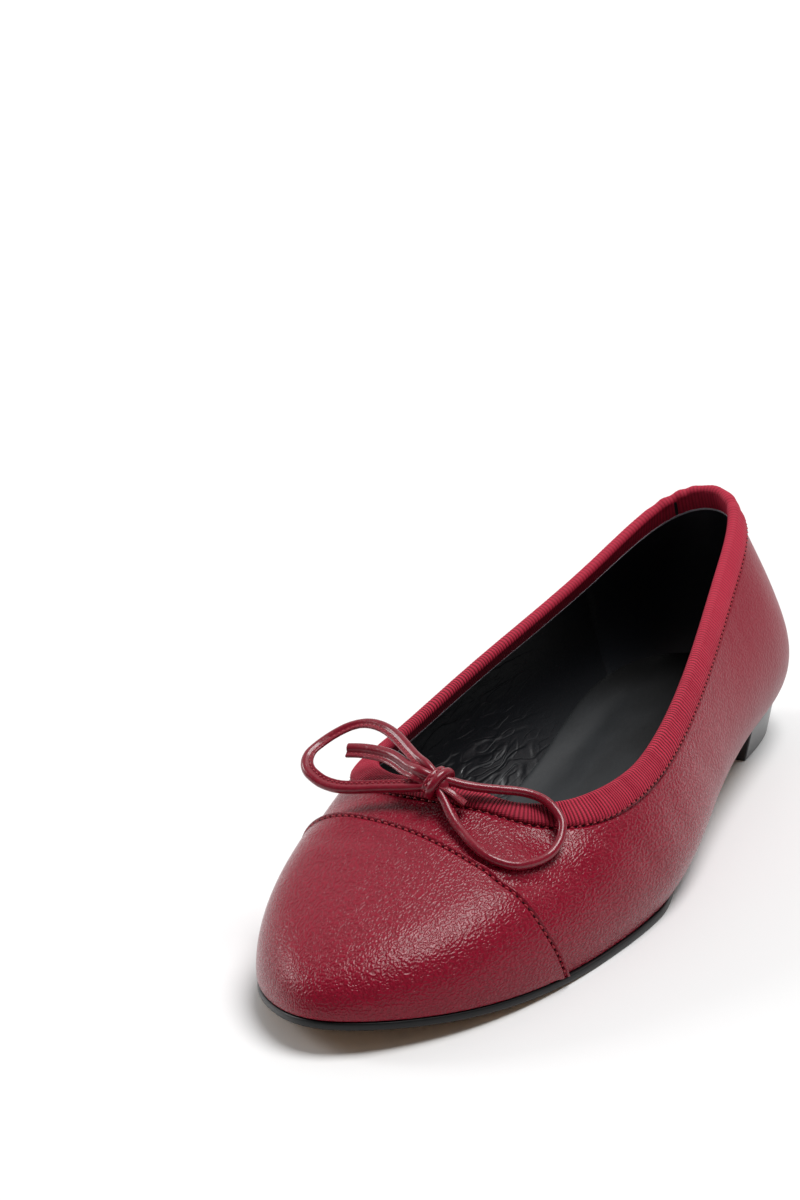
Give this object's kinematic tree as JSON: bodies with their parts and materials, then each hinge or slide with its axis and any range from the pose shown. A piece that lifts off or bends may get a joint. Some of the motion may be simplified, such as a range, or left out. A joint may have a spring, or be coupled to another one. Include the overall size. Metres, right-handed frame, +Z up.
{
  "type": "ballet flat",
  "caption": "Left ballet flat in burgundy leather with a stitched toe cap, ribbed collar binding, small string bow, thin sole and low block heel.",
  "frame": {"origin": "on the floor, at the middle of the heel block's flat foot", "axes": "+X to the toe, +Y to the lateral side, which is the wearer's left, +Z up"},
  "size_m": [0.2474, 0.0842, 0.065],
  "materials": {
    "upper": "deep burgundy leather, fine pebble grain, satin gloss",
    "string": "folded burgundy leather string, satin",
    "binding": "red ribbed ribbon, matt",
    "lining": "smooth black lining leather, soft sheen",
    "sole": "leather sole, edge dyed satin black, underside natural tan",
    "heel": "block dyed charcoal black, satin"
  },
  "bodies": {
    "root": {"outsole": "sole", "heel": "heel", "insole": "lining", "upper": "upper", "binding": "binding", "toe_cap": "upper", "bow_knot": "string", "bow_loop_lateral": "string", "bow_loop_medial": "string", "bow_tail_medial": "string", "bow_tail_lateral": "string"}
  },
  "joints": []
}
